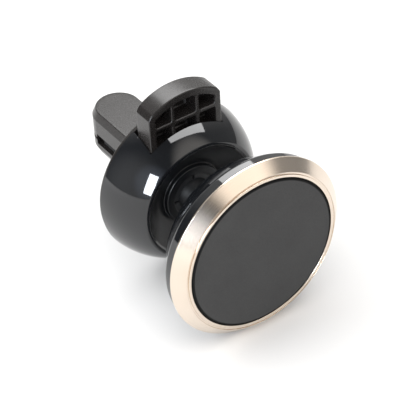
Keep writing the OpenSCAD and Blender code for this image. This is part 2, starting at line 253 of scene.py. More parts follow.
def lathe(name, profile, segments=FACETS, centre=(0, 0), closed=True):
    """Turns an outline of (radius, depth) about the head's axis, or about a parallel one."""
    verts, faces = [], []
    n = len(profile)
    for s in range(segments):
        a = 2 * math.pi * s / segments
        for r, y in profile:
            verts.append(point(centre[0] + r * math.sin(a), y, centre[1] + r * math.cos(a)))
    for s in range(segments):
        t = (s + 1) % segments
        for i in range(n if closed else n - 1):
            j = (i + 1) % n
            faces.append((s * n + i, s * n + j, t * n + j, t * n + i))
    return new_object(name, verts, faces)


def inset_outline(outline, d):
    """The outline moved inwards by d, each corner along its mitre. It runs anticlockwise."""
    out = []
    n = len(outline)
    for i in range(n):
        p = Vector(outline[i])
        e0 = (p - Vector(outline[i - 1])).normalized()
        e1 = (Vector(outline[(i + 1) % n]) - p).normalized()
        n0 = Vector((-e0.y, e0.x))
        n1 = Vector((-e1.y, e1.x))
        m = (n0 + n1).normalized()
        out.append(tuple(p + m * (d / max(0.5, m.dot(n0)))))
    return out


def stack(name, levels, place):
    """A solid from outlines of equal length, one above the other, with flat ends."""
    verts, faces = [], []
    n = len(levels[0][0])
    for outline, h in levels:
        verts += [place(u, v, h) for u, v in outline]
    for k in range(len(levels) - 1):
        for i in range(n):
            j = (i + 1) % n
            faces.append((k * n + i, k * n + j, (k + 1) * n + j, (k + 1) * n + i))
    faces.append(tuple(range(n - 1, -1, -1)))
    faces.append(tuple(range((len(levels) - 1) * n, len(levels) * n)))
    return new_object(name, verts, faces)


def across(u, v, h):
    """Outline in x and height, stacked along the depth."""
    return point(u, h, v)


def upright(u, v, h):
    """Outline in x and depth, stacked along the height."""
    return point(u, v, h)


def sideways(u, v, h):
    """Outline in depth and height, stacked along x."""
    return point(h, u, v)


def edged(outline, low, high, low_edge, high_edge, count=4):
    """Levels of a slab with rounded edges: each edge is a quarter round of its own radius."""
    turns = [math.pi / 2 * k / count for k in range(count + 1)]
    levels = [
        (inset_outline(outline, low_edge * (1 - math.sin(a))), low + low_edge * (1 - math.cos(a)))
        for a in turns
    ]
    levels += [
        (inset_outline(outline, high_edge * (1 - math.cos(a))), high - high_edge * (1 - math.sin(a)))
        for a in turns
    ]
    return levels


def layered(name, outline, profile, place):
    """A solid whose outline shrinks as it rises: profile is a list of (inset, height)."""
    return stack(name, [(inset_outline(outline, d), h) for d, h in profile], place)


def across_bar(name, outline, x0, x1, edge):
    """An outline in depth and height drawn out along x, with softened edges."""
    return stack(name, edged(outline, x0, x1, edge, edge, 3), sideways)


def round_the_pivot(radius, count):
    """A circle of (depth, height) points about the lever's pivot."""
    return [(PIVOT_Y + u, PIVOT_Z + v) for u, v in arc((0, 0), radius, 0, 360, count)[:-1]]


def pin_cutter(radius):
    """A round bar along the pivot, for cutting its bore."""
    ring = round_the_pivot(radius, 64)
    return stack("pin_bore", [(ring, -PAST_X), (ring, PAST_X)], sideways)


def box_cutter(name, low, high):
    """A plain box between two corners (x, depth, height), for cutting only."""
    outline = [(low[0], low[2]), (high[0], low[2]), (high[0], high[2]), (low[0], high[2])]
    return stack(name, [(outline, low[1]), (outline, high[1])], across)


def combine(obj, other, operation):
    """Cuts or joins another solid, bakes the result and removes the other."""
    m = obj.modifiers.new("combine", "BOOLEAN")
    m.operation = operation
    m.solver = "MANIFOLD"
    m.object = other
    bake(obj)
    bpy.data.objects.remove(other)


def bake(obj):
    """Replaces an object's mesh by what its modifiers make of it, with no face of more than four sides."""
    bpy.context.view_layer.update()
    made = bpy.data.meshes.new_from_object(obj.evaluated_get(bpy.context.evaluated_depsgraph_get()))
    obj.modifiers.clear()
    obj.data = made
    bm = bmesh.new()
    bm.from_mesh(made)
    bmesh.ops.triangulate(bm, faces=[f for f in bm.faces if len(f.verts) > 4])
    bm.to_mesh(made)
    bm.free()


def place_piece(obj, body, slot, material, *nodes):
    """Gives a finished piece its material and its body, and hides the CAD nodes it stands for. The slot is
    not used.
    """
    obj.data.materials.clear()
    obj.data.materials.append(material)
    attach(obj, body)
    if nodes:
        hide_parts(*nodes)


# ---------------------------------------------------------------- materials
class Nodes:
    """A small builder for node materials."""

    def __init__(self, name):
        self.material = bpy.data.materials.new(name)
        self.material.use_nodes = True
        self.tree = self.material.node_tree
        self.shader = self.tree.nodes["Principled BSDF"]
        self.coords = self.add("ShaderNodeTexCoord").outputs["Object"]

    def add(self, kind, **settings):
        node = self.tree.nodes.new(kind)
        for key, value in settings.items():
            setattr(node, key, value)
        return node

    def link(self, a, b):
        self.tree.links.new(a, b)

    def noise(self, scale, detail=3.0, roughness=0.5, vector=None):
        node = self.add("ShaderNodeTexNoise")
        node.inputs["Scale"].default_value = scale
        node.inputs["Detail"].default_value = detail
        node.inputs["Roughness"].default_value = roughness
        self.link(vector or self.coords, node.inputs["Vector"])
        return node.outputs["Fac"]

    def scaled(self, factors):
        node = self.add("ShaderNodeVectorMath", operation="MULTIPLY")
        self.link(self.coords, node.inputs[0])
        node.inputs[1].default_value = factors
        return node.outputs["Vector"]

    def ramp(self, value, stops):
        node = self.add("ShaderNodeValToRGB")
        ramp = node.color_ramp
        while len(ramp.elements) < len(stops):
            ramp.elements.new(0.5)
        for element, (at, colour) in zip(ramp.elements, stops):
            element.position = at
            element.color = (*colour, 1)
        self.link(value, node.inputs["Fac"])
        return node.outputs["Color"]

    def axis_radius(self):
        """Distance from the head's axis."""
        split = self.add("ShaderNodeSeparateXYZ")
        self.link(self.coords, split.inputs[0])
        height = self.math("SUBTRACT", split.outputs["Z"], AXIS_Z)
        squares = self.math("ADD", self.math("POWER", split.outputs["X"], 2), self.math("POWER", height, 2))
        return self.math("SQRT", squares, 0)

    def span(self, value, low, high, out_low, out_high):
        node = self.add("ShaderNodeMapRange")
        for key, v in zip(("From Min", "From Max", "To Min", "To Max"), (low, high, out_low, out_high)):
            node.inputs[key].default_value = v
        self.link(value, node.inputs["Value"])
        return node.outputs["Result"]

    def math(self, operation, a, b):
        node = self.add("ShaderNodeMath", operation=operation)
        for i, v in enumerate((a, b)):
            if isinstance(v, (int, float)):
                node.inputs[i].default_value = v
            else:
                self.link(v, node.inputs[i])
        return node.outputs["Value"]

    def bump(self, height, strength, distance):
        node = self.add("ShaderNodeBump")
        node.inputs["Strength"].default_value = strength
        node.inputs["Distance"].default_value = distance
        self.link(height, node.inputs["Height"])
        self.link(node.outputs["Normal"], self.shader.inputs["Normal"])

    def set(self, **values):
        for key, value in values.items():
            self.shader.inputs[key.replace("_", " ")].default_value = value


def shade_of(value, tint=(1, 1, 1)):
    """A colour: the tint, or white, times a value."""
    return tuple(value * t for t in tint)


def gloss_black(name="gloss_black", satin_front=None, satin_rough=0.28, satin_sheen=0.26):
    """Polished blue-black plastic: a slight waviness of the moulding and a few fine scuffs.

    satin_front is (radius, depth): inside that radius and behind that depth the surface is unpolished.
    """
    m = Nodes(name)
    tint = (0.86, 0.95, 1.12)
    wide = m.noise(90, 2)
    m.link(
        m.ramp(wide, [(0.3, shade_of(0.0075, tint)), (0.7, shade_of(0.0105, tint))]),
        m.shader.inputs["Base Color"],
    )
    fine = m.noise(2600, 4, 0.6)
    scuff = m.noise(520, 5, 0.7, m.scaled((1.0, 0.35, 1.6)))
    rough = m.math("ADD", m.span(fine, 0.3, 0.7, 0.035, 0.06), m.span(scuff, 0.62, 0.8, 0.0, 0.1))
    if satin_front:
        radius, depth = satin_front
        split = m.add("ShaderNodeSeparateXYZ")
        m.link(m.coords, split.inputs[0])
        inside = m.span(m.axis_radius(), radius * MM, (radius - 0.3) * MM, 0, 1)
        behind = m.span(split.outputs["Y"], FACE_Y + depth * MM, FACE_Y + (depth + 0.3) * MM, 0, 1)
        satin = m.math("MULTIPLY", inside, behind)
        rough = m.math("ADD", rough, m.math("MULTIPLY", satin, satin_rough))
        m.link(m.span(satin, 0, 1, 0.5, satin_sheen), m.shader.inputs["Specular IOR Level"])
    m.link(rough, m.shader.inputs["Roughness"])
    m.bump(m.noise(160, 2), 0.05, 0.0004)
    m.set(IOR=1.6)
    return m.material


def lever_black():
    """Semi-gloss warm black plastic with the very fine grain of a spark-eroded mould."""
    m = Nodes("lever_black")
    tint = (1.1, 0.98, 0.94)
    cloud = m.noise(140, 3)
    m.link(
        m.ramp(cloud, [(0.3, shade_of(0.012, tint)), (0.7, shade_of(0.017, tint))]),
        m.shader.inputs["Base Color"],
    )
    fine = m.noise(5200, 3, 0.6)
    m.link(m.span(fine, 0.3, 0.7, 0.2, 0.3), m.shader.inputs["Roughness"])
    m.bump(fine, 0.08, 0.00003)
    m.set(IOR=1.47)
    return m.material


def gold_metal():
    """Pale gold anodised aluminium, turned on a lathe: fine rings about the head's axis."""
    m = Nodes("pale_gold")
    turned = m.add("ShaderNodeTexNoise", noise_dimensions="1D")
    turned.inputs["Scale"].default_value = 9000
    turned.inputs["Detail"].default_value = 3
    m.link(m.axis_radius(), turned.inputs["W"])
    cloud = m.noise(60, 3)
    m.link(
        m.ramp(cloud, [(0.3, (0.70, 0.60, 0.50)), (0.7, (0.79, 0.69, 0.59))]),
        m.shader.inputs["Base Color"],
    )
    lines = m.span(turned.outputs["Fac"], 0.3, 0.7, 0.14, 0.22)
    rough = m.math("ADD", lines, m.span(cloud, 0.3, 0.7, 0, 0.05))
    m.link(rough, m.shader.inputs["Roughness"])
    m.bump(turned.outputs["Fac"], 0.1, 0.00001)
    m.set(Metallic=1.0)
    return m.material


def pad_rubber(name="pad_rubber", base=0.034, grain=3200, edge_r=None):
    """Dark grey silicone rubber: a fine even grain, a little dust and, near edge_r, painted shade: a dark
    ring that stands in for the shadow in the gap between the pad and the ring.
    """
    m = Nodes(name)
    fine = m.noise(grain, 4, 0.65)
    cloud = m.noise(110, 4, 0.6)
    dust = m.noise(1500, 2, 0.4)
    shade = m.math("ADD", m.span(cloud, 0.3, 0.7, 0.0, 0.35), m.span(dust, 0.7, 0.78, 0.0, 0.6))
    colour = m.ramp(shade, [(0.0, shade_of(base * 0.93)), (1.0, shade_of(base * 1.6))])
    # Painted shade: near edge_r the colour falls to 12 % and the reflection is damped, standing in for the
    # shadowed gap between the pad and the ring.
    if edge_r:
        radius = m.axis_radius()
        fade = ((edge_r - 0.55) * MM, (edge_r - 0.35) * MM)
        kept = m.span(radius, *fade, 1, 0.12)
        painted_gap_shade = m.add("ShaderNodeVectorMath", operation="SCALE")
        m.link(colour, painted_gap_shade.inputs[0])
        m.link(kept, painted_gap_shade.inputs["Scale"])
        colour = painted_gap_shade.outputs["Vector"]
        m.link(m.span(radius, *fade, 0.5, 0.15), m.shader.inputs["Specular IOR Level"])
    m.link(colour, m.shader.inputs["Base Color"])
    m.link(m.span(fine, 0.3, 0.7, 0.62, 0.78), m.shader.inputs["Roughness"])
    m.bump(fine, 0.35, 0.00004)
    m.set(IOR=1.45)
    return m.material


def moulded(name, colour, grain=2400, rough=0.45):
    """Plain moulded plastic with a fine grain."""
    m = Nodes(name)
    cloud = m.noise(200, 3)
    m.link(
        m.ramp(cloud, [(0.3, shade_of(0.88, colour)), (0.7, shade_of(1.1, colour))]),
        m.shader.inputs["Base Color"],
    )
    fine = m.noise(grain, 3, 0.6)
    m.link(m.span(fine, 0.3, 0.7, rough - 0.06, rough + 0.08), m.shader.inputs["Roughness"])
    m.bump(fine, 0.15, 0.00003)
    return m.material


def metal(name, colour, rough=0.25, stretch=(1, 1, 1)):
    """Machined or plated metal with fine drawn marks."""
    m = Nodes(name)
    marks = m.noise(1800, 4, 0.6, m.scaled(stretch))
    cloud = m.noise(150, 3)
    m.link(
        m.ramp(cloud, [(0.3, shade_of(0.9, colour)), (0.7, colour)]),
        m.shader.inputs["Base Color"],
    )
    m.link(m.span(marks, 0.3, 0.7, rough * 0.8, rough * 1.3), m.shader.inputs["Roughness"])
    m.bump(marks, 0.12, 0.00002)
    m.set(Metallic=1.0)
    return m.material


GLOSS = gloss_black()
BOWL = gloss_black("gloss_black_bowl", (DISH_LIP_R - 0.2, RIM_Y + 0.1))
BALL = gloss_black("satin_black_ball", (BALL_R + 1, 0), 0.45, 0.15)
LEVER = lever_black()
GOLD = gold_metal()
# The pad's rim carries painted shade for the gap beside the ring.
PAD = pad_rubber(edge_r=PAD_R)
GRIP = pad_rubber("grip_rubber", 0.03, 2600)
INNER = moulded("inner_plastic", (0.02, 0.021, 0.023))
FILM = moulded("adhesive_film", (0.78, 0.77, 0.73), 1200, 0.6)
PIN = metal("polished_steel", (0.64, 0.65, 0.67), 0.16)
SCREW = metal("zinc_steel", (0.46, 0.47, 0.50), 0.3)
WIRE = metal("spring_wire", (0.42, 0.43, 0.45), 0.28, (4, 1, 1))
NICKEL = metal("nickel", (0.62, 0.60, 0.57), 0.18)
YOKE = metal("yoke_steel", (0.44, 0.45, 0.47), 0.35, (1, 1, 3))


# ---------------------------------------------------------------- head
def make_ring():
    lip = RING_BORE_R + 0.6
    groove = lip + 0.36
    profile = rounded([
        (RING_BORE_R, LIP_Y, 0.12), (lip, LIP_Y, 0.1), (lip + 0.02, LIP_Y + 0.3, 0.05),
        (groove, LIP_Y + 0.3, 0.05), (groove + 0.03, LIP_Y + 0.06, 0.06),
        (RING_R, RING_BACK_Y - 0.3, 0.12), (RING_R, RING_BACK_Y, 0.06),
        (SPIGOT_R, RING_BACK_Y), (SPIGOT_R, RING_BACK_Y + 0.95, 0.1), (RING_BORE_R, RING_BACK_Y + 0.95),
    ])
    ring = weighted(finish_mesh(lathe("trim_ring_turned", profile, FACETS_LARGE)))
    place_piece(ring, "head", "ring_gold", GOLD, "trim_ring")


def make_pad():
    edge_r, spread, count = 0.45, 0.1, 8
    edge = arc((PAD_R - edge_r - spread, edge_r), edge_r, -90, 0, count)
    edge = [(r + spread * k / count, y) for k, (r, y) in enumerate(edge)]
    profile = [(r, 0) for r in (0, 4, 8, 12, 15)] + edge + [(PAD_R, PAD_T), (0, PAD_T)]
    pad = weighted(finish_mesh(lathe("face_pad_rubber", profile, closed=False)))
    place_piece(pad, "head", "pad_rubber", PAD, "face_pad")


def on_sphere(radius, centre, r):
    """Depth of a sphere's rear surface at radius r from the axis."""
    return centre + math.sqrt(radius**2 - r**2)


def cap(radius, centre, r0, r1, count):
    """Points of a sphere's rear surface from radius r0 to r1."""
    a0, a1 = (math.degrees(math.acos(r / radius)) for r in (r0, r1))
    return arc((0, centre), radius, a0, a1, count)


def make_dome():
    inner = DOME_R - DOME_WALL
    band_in = BAND_R - DOME_WALL
    cap_r = BAND_R - 3
    edge = rounded([
        (BAND_R, RING_BACK_Y), (BAND_R, BAND_BACK_Y, 1.1), (cap_r, on_sphere(DOME_R, DOME_Y, cap_r)),
    ], 8, closed=False)
    profile = edge[:-1] + cap(DOME_R, DOME_Y, cap_r, HUB_R + 0.3, 48)
    profile += rounded([
        (HUB_R + 0.1, on_sphere(DOME_R, DOME_Y, HUB_R) + 0.1), (HUB_R, HUB_BACK_Y, 0.2),
        (HUB_BORE_R, HUB_BACK_Y, 0.1), (HUB_BORE_R, HUB_FRONT_Y, 0.05), (HUB_IN_R, HUB_FRONT_Y, 0.1),
        (HUB_IN_R, HUB_FRONT_Y + 0.6),
    ], closed=False)
    profile += cap(inner, DOME_Y, HUB_IN_R, band_in, 32) + [(band_in, RING_BACK_Y)]
    dome = weighted(finish_mesh(lathe("head_dome", profile, FACETS_LARGE)))
    place_piece(dome, "head", "body_gloss", GLOSS, "head_shell")


# ---------------------------------------------------------------- ball joint
def make_stud():
    bore_r, bore_end_y = 0.83, 17
    journal_r, journal_y = 1.8, 13.5
    neck_y = HUB_BACK_Y + 0.05
    blend_r = NECK_R + 0.25
    blend = math.sqrt(BALL_R**2 - blend_r**2)
    start = math.degrees(math.atan2(-blend, blend_r))
    profile = rounded([
        (0, bore_end_y), (bore_r, bore_end_y), (bore_r, journal_y, 0.05), (journal_r, journal_y, 0.1),
        (journal_r, neck_y), (NECK_R, neck_y, 0.15), (NECK_R, BALL_Y - blend - 0.35, 0.5),
        (blend_r, BALL_Y - blend),
    ], closed=False)
    profile += arc((0, BALL_Y), BALL_R, start, 90, 48)[1:-1] + [(0, BALL_Y + BALL_R)]
    stud = weighted(finish_mesh(lathe("ball_stud_turned", profile, 128, closed=False)))
    place_piece(stud, "stud", "body_gloss", BALL, "ball_stud")


# ---------------------------------------------------------------- body
def make_bowl():
    inner = BOWL_R - BOWL_WALL
    back = SHELL_BACK_Y - BOWL_Y
    a_back = math.degrees(math.atan2(back, math.sqrt(BOWL_R**2 - back**2)))
    rim_r = math.sqrt(BOWL_R**2 - (RIM_Y - BOWL_Y) ** 2)
    a_rim = math.degrees(math.atan2(RIM_Y - BOWL_Y, rim_r))
    outer = arc((0, BOWL_Y), BOWL_R, a_back, a_rim + 3.2, 72)
    dish_start = DISH_LIP_R - 0.9
    lip = rounded([
        outer[-1], (rim_r, RIM_Y, 1.0), (DISH_LIP_R, RIM_Y, 0.3),
        (dish_start, on_sphere(DISH_R, DISH_Y, dish_start)),
    ], 10, closed=False)
    dish = cap(DISH_R, DISH_Y, dish_start, SOCKET_R + 0.6, 40)
    mouth = math.sqrt(SEAT_R**2 - (BALL_Y - SOCKET_FRONT_Y) ** 2)
    thick = DISH_R + BOWL_WALL
    socket = rounded([
        dish[-1], (SOCKET_R, on_sphere(DISH_R, DISH_Y, SOCKET_R), 0.3), (SOCKET_R, SOCKET_FRONT_Y, 0.3),
        (mouth, SOCKET_FRONT_Y, 0.15), (SEAT_R - 0.04, BALL_Y - 0.8), (SEAT_R, BALL_Y),
        (SOCKET_BORE_R, BALL_Y), (SOCKET_BORE_R, SOCKET_BACK_Y, 0.15), (SOCKET_R, SOCKET_BACK_Y, 0.15),
        (SOCKET_R, on_sphere(thick, DISH_Y, SOCKET_R)),
    ], 6, closed=False)
    meet_r = 12.9
    behind = cap(thick, DISH_Y, SOCKET_R, meet_r, 12)
    a_meet = math.degrees(math.atan2(behind[-1][1] - BOWL_Y, meet_r))
    a_inner = math.degrees(math.atan2(back, math.sqrt(inner**2 - back**2)))
    inside = arc((0, BOWL_Y), inner, a_meet, a_inner, 24)
    bowl = lathe("body_bowl", outer + lip[1:-1] + dish + socket[1:-1] + behind + inside[1:], 288)
    slot = box_cutter(
        "slot", (-SLOT_HALF_W, SLOT_FRONT_Y, SLOT_FLOOR_Z), (SLOT_HALF_W, PAST_BACK_Y, PAST_TOP_Z)
    )
    combine(bowl, slot, "DIFFERENCE")
    finish_mesh(bowl, 30)
    soften_slot(bowl)
    weighted(bowl)
    place_piece(bowl, "body", "body_gloss", BOWL, "body_shell")


def soften_slot(bowl):
    """A fine rounded edge where the lever's slot cuts the bowl's outside."""
    on_bowl, on_cut, sharp = 0.02, 0.002, 0.3
    bm = bmesh.new()
    bm.from_mesh(bowl.data)
    edges = []
    for e in bm.edges:
        ends = [(v.co.x / MM, depth_of(v.co.y), height_of(v.co.z)) for v in e.verts]
        outside = all(abs(math.hypot(x, y - BOWL_Y, z) - BOWL_R) < on_bowl for x, y, z in ends)
        side = all(abs(abs(x) - SLOT_HALF_W) < on_cut for x, y, z in ends)
        front = all(abs(y - SLOT_FRONT_Y) < on_cut for x, y, z in ends)
        if outside and (side or front) and len(e.link_faces) == 2 and e.calc_face_angle(0) > sharp:
            edges.append(e)
    bmesh.ops.bevel(
        bm, geom=edges, offset=0.24 * MM, segments=3, affect="EDGES", profile=0.5, clamp_overlap=True
    )
    bm.to_mesh(bowl.data)
    bm.free()


def make_bosses():
    """The four screw bosses inside the bowl."""
    hole_r, hole_end_y, root_y = 0.9, SHELL_BACK_Y - 5.5, BOSS_Y + 1.2
    profile = rounded([
        (hole_r, hole_end_y), (hole_r, SHELL_BACK_Y, 0.1), (BOSS_R, SHELL_BACK_Y, 0.1), (BOSS_R, root_y),
        (0, root_y), (0, hole_end_y),
    ])
    for i, spot in enumerate(SCREW_SPOTS):
        boss = weighted(finish_mesh(lathe(f"screw_boss_{i + 1}", profile, FACETS_SMALL, spot)))
        place_piece(boss, "body", "body_gloss", GLOSS)


def jaw_plan(front_y):
    """A jaw seen from above: straight sides and a round tip."""
    return [(-JAW_R, front_y), (JAW_R, front_y)] + arc((0, JAW_TIP_Y - JAW_R), JAW_R, 0, 180, 48)


def make_cover():
    plate_profile = rounded([
        (0, SHELL_BACK_Y), (COVER_R, SHELL_BACK_Y, 0.06), (COVER_R, COVER_BACK_Y, 0.25), (0, COVER_BACK_Y),
    ], 5, closed=False)
    cover = lathe("clip_cover_moulded", plate_profile, closed=False)
    root_y, end_y, chamfer = SHELL_BACK_Y + 0.3, SHELL_BACK_Y - 1, 0.1
    register = lathe("register", [
        (REGISTER_R, root_y), (REGISTER_IN_R, root_y), (REGISTER_IN_R, end_y),
        (REGISTER_R - chamfer, end_y), (REGISTER_R, end_y + chamfer),
    ])
    gap = box_cutter("gap", (-REGISTER_GAP_HALF_W, 28, 0), (REGISTER_GAP_HALF_W, 34, PAST_TOP_Z))
    combine(register, gap, "DIFFERENCE")
    combine(cover, register, "UNION")
    ear_low_y, ear_r, ear_corner = PIVOT_Y - 2.2, 2.2, 2.15
    for side in (-1, 1):
        ear = rounded([
            (ear_low_y, PIVOT_Z - ear_r, ear_corner), (SHELL_BACK_Y + 0.4, PIVOT_Z - ear_r),
            (SHELL_BACK_Y + 0.4, PIVOT_Z + ear_r), (ear_low_y, PIVOT_Z + ear_r, ear_corner),
        ], 12)
        x0, x1 = sorted((side * EAR_IN, side * EAR_OUT))
        combine(cover, across_bar("ear", ear, x0, x1, 0.15), "UNION")
        x0, x1 = sorted(side * x for x in ARM_SLOT_X)
        z0, z1 = ARM_SLOT_Z
        arm_slot = box_cutter("arm_slot", (x0, PAST_FRONT_Y, z0), (x1, PAST_BACK_Y, z1))
        combine(cover, arm_slot, "DIFFERENCE")
    notch = box_cutter(
        "notch", (-NOTCH_HALF_W, PAST_FRONT_Y, NOTCH_FLOOR_Z), (NOTCH_HALF_W, PAST_BACK_Y, PAST_TOP_Z)
    )
    combine(cover, notch, "DIFFERENCE")
    combine(cover, pin_cutter(PIN_R), "DIFFERENCE")
    core_r, core_y = 1.0, 25
    well_r, lip = COVER_SCREW_R + 0.1, 0.14
    seat_y = COVER_BACK_Y - COVER_SCREW_H
    well = [
        (0, core_y), (core_r, core_y), (core_r, seat_y), (well_r, seat_y), (well_r, COVER_BACK_Y - 0.12),
        (well_r + lip, COVER_BACK_Y + 0.02), (well_r + lip, PAST_BACK_Y), (0, PAST_BACK_Y),
    ]
    for spot in SCREW_SPOTS:
        combine(cover, lathe("well", well, FACETS_SMALL, spot, closed=False), "DIFFERENCE")
    plan = jaw_plan(COVER_BACK_Y - 0.5)
    profile = rounded([
        (0.15, UPPER_LOW_Z), (0, UPPER_LOW_Z + 0.15), (0, UPPER_HIGH_Z - BEVEL_H, 0.35),
        (BEVEL_W, UPPER_HIGH_Z, 0.25), (BEVEL_W + 0.8, UPPER_HIGH_Z),
    ], 4, closed=False)
    jaw = layered("jaw", plan, profile, upright)
    step_y, step_z = JAW_TIP_Y - JAW_TIP_LEN, UPPER_LOW_Z + PAD_STEP
    step = box_cutter("step", (-PAST_X, PAST_FRONT_Y, UPPER_LOW_Z - 1), (PAST_X, step_y, step_z))
    combine(jaw, step, "DIFFERENCE")
    combine(cover, jaw, "UNION")
    weighted(finish_mesh(cover, 30))
    place_piece(cover, "body", "lever_plastic", LEVER, "clip_cover")


def make_cover_screws():
    """Four countersunk screws with cross recesses, their heads let into the cover."""
    top = COVER_BACK_Y - 0.03
    under = COVER_BACK_Y - COVER_SCREW_H
    shank = 0.87
    tip = under - 5.5
    turns = 9
    for i, (x, z) in enumerate(SCREW_SPOTS):
        profile = [(0, top), (0.9, top - 0.01)] + rounded([
            (COVER_SCREW_R - 0.3, top - 0.03), (COVER_SCREW_R, top - 0.06, 0.1), (COVER_SCREW_R, under, 0.05),
            (shank, under),
        ], 4, closed=False)
        for k in range(turns):
            y = under - 0.4 - k * (5.0 / turns)
            profile += [(shank, y), (shank - 0.2, y - 0.15), (shank - 0.2, y - 0.3)]
        profile += [(0.35, tip + 0.05), (0, tip)]
        screw = lathe(f"cover_screw_{i + 1}", profile, FACETS_SMALL, (x, z), closed=False)
        turn = math.radians(20 + 47 * i)
        for q in (0, math.pi / 2):
            c, s = math.cos(turn + q), math.sin(turn + q)
            low, high = [], []
            for u, v in ((-0.95, -0.2), (0.95, -0.2), (0.95, 0.2), (-0.95, 0.2)):
                high.append((x + u * c - v * s, z + u * s + v * c))
                low.append((x + (u * c - v * s) * 0.45, z + (u * s + v * c) * 0.45))
            cross = stack("cross", [(low, top - 0.45), (high, top + 0.05)], across)
            combine(screw, cross, "DIFFERENCE")
        weighted(finish_mesh(screw, 30))
        place_piece(screw, "body", "screw_steel", SCREW, *(("cover_screws",) if i == 0 else ()))


def ribbed_pad(name, low_z, high_z, face_up):
    """A rubber grip pad with fine ribs across its working face."""
    back, front = (low_z, high_z) if face_up else (high_z, low_z)
    sign = 1 if face_up else -1
    length = GRIP_BACK_Y - GRIP_FRONT_Y
    ribs, steps, rib_h = 9, 8, 0.13
    section = [(GRIP_FRONT_Y, back), (GRIP_BACK_Y, back)]
    for k in range(ribs * steps + 1):
        y = GRIP_BACK_Y - length * k / (ribs * steps)
        lift = 0.5 - 0.5 * math.cos(2 * math.pi * (y - GRIP_FRONT_Y) / (length / ribs))
        section.append((y, front - sign * rib_h * (1 - lift)))
    if not face_up:
        section.reverse()
    pad = stack(name, [(section, -GRIP_HALF_W), (section, GRIP_HALF_W)], sideways)
    return weighted(finish_mesh(pad, 50))


def make_grip_pads():
    for side, body, face_up in (("upper", "body", False), ("lower", "lever", True)):
        low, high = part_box(f"{side}_pad")
        pad = ribbed_pad(f"{side}_grip_rubber", height_of(low.z), height_of(high.z), face_up)
        place_piece(pad, body, "grip_rubber", GRIP, f"{side}_pad")


# ---------------------------------------------------------------- lever
def lever_outline():
    """The thumb lever's outline: straight sides, a bevelled corner and an arched top."""
    a = math.degrees(math.acos(CORNER_X / ARCH_R))
    top = arc((0, ARCH_Z), ARCH_R, a, 180 - a, 40)
    corner_z = ARCH_Z + math.sqrt(ARCH_R**2 - CORNER_X**2) - CORNER_DROP
    right = rounded(
        [(LEVER_HALF_W, LEVER_FLOOR_Z), (LEVER_HALF_W, corner_z, 0.25), top[0]], 4, closed=False
    )
    left = [(-u, v) for u, v in reversed(right)]
    return right[:-1] + top + left[1:]


def pocket(x0, x1, z0, z1):
    """One hollow cell of the lever: its outline, with the arch as its top where z1 is None."""
    corners = [(x0, z0, CELL_CORNER), (x1, z0, CELL_CORNER)]
    if z1 is None:
        steps = 10
        top = [x1 + (x0 - x1) * k / steps for k in range(steps + 1)]
        top = [(x, ARCH_Z + math.sqrt(CELL_ARCH_R**2 - x * x)) for x in top]
        corners += [(*top[0], 0.3), *top[1:-1], (*top[-1], 0.3)]
    else:
        corners += [(x1, z1, CELL_CORNER), (x0, z1, CELL_CORNER)]
    return rounded(corners, 4)


def make_lever():
    lever = stack("thumb_lever", edged(lever_outline(), LEVER_Y, LEVER_BACK_Y, 0.28, 0.45), across)
    bottom = LEVER_Y + CELL_DEPTH
    cell_levels = (
        (-0.16, LEVER_Y - 0.1), (-0.16, LEVER_Y + 0.001), (-0.05, LEVER_Y + 0.09), (0, LEVER_Y + 0.22),
        (0.08, bottom - 0.2), (0.3, bottom),
    )
    inner, outer = CELL_RIB_X - CELL_RIB, CELL_RIB_X + CELL_RIB
    for x0, x1 in ((-CELL_X, -outer), (-inner, inner), (outer, CELL_X)):
        for z0, z1 in ((CELL_FLOOR_Z, CELL_RIB_Z - CELL_RIB), (CELL_RIB_Z + CELL_RIB, None)):
            cell = layered("cell", pocket(x0, x1, z0, z1), cell_levels, across)
            combine(lever, cell, "DIFFERENCE")
    for side in (-1, 1):
        x0, x1 = sorted((side * CHEEK_IN, side * LEVER_HALF_W))
        cheek = rounded([
            (LEVER_Y + 0.5, LEVER_FLOOR_Z + 0.3), (PIVOT_Y - 2.1, PIVOT_Z - 0.8, 1.6),
            (ARM_FRONT_Y - 0.4, ARM_LOW_Z + 4, 0.5), (ARM_FRONT_Y, ARM_LOW_Z, 0.3),
            (ARM_BACK_Y, ARM_LOW_Z, 0.4), (ARM_BACK_Y, ARM_LOW_Z + 5.2, 0.6),
            (PIVOT_Y + 1.4, PIVOT_Z + 1.6, 0.8),
            (LEVER_BACK_Y, LEVER_FLOOR_Z + 0.3),
        ], 6)
        combine(lever, across_bar("cheek", cheek, x0, x1, 0.12), "UNION")
    plan = jaw_plan(ARM_FRONT_Y)
    profile = rounded([
        (BEVEL_W + 0.8, ARM_LOW_Z), (BEVEL_W, ARM_LOW_Z, 0.25), (0, ARM_LOW_Z + BEVEL_H, 0.35),
        (0, LOWER_HIGH_Z - 0.15), (0.15, LOWER_HIGH_Z),
    ], 4, closed=False)
    jaw = layered("jaw", plan, profile, upright)
    step_y, step_z = JAW_TIP_Y - JAW_TIP_LEN, LOWER_HIGH_Z - PAD_STEP
    step = box_cutter("step", (-PAST_X, PAST_FRONT_Y, step_z), (PAST_X, step_y, LOWER_HIGH_Z + 1))
    combine(jaw, step, "DIFFERENCE")
    bridge = rounded([
        (ARM_FRONT_Y, ARM_LOW_Z, 0.3), (ARM_BACK_Y, ARM_LOW_Z, 0.3), (ARM_BACK_Y, step_z, 0.3),
        (ARM_FRONT_Y, step_z, 0.3),
    ], 4)
    half = LEVER_HALF_W - 0.2
    combine(jaw, across_bar("bridge", bridge, -half, half, 0.1), "UNION")
    combine(lever, jaw, "UNION")
    combine(lever, pin_cutter(PIN_BORE_R), "DIFFERENCE")
    weighted(finish_mesh(lever, 30))
    place_piece(lever, "lever", "lever_plastic", LEVER, "release_lever")


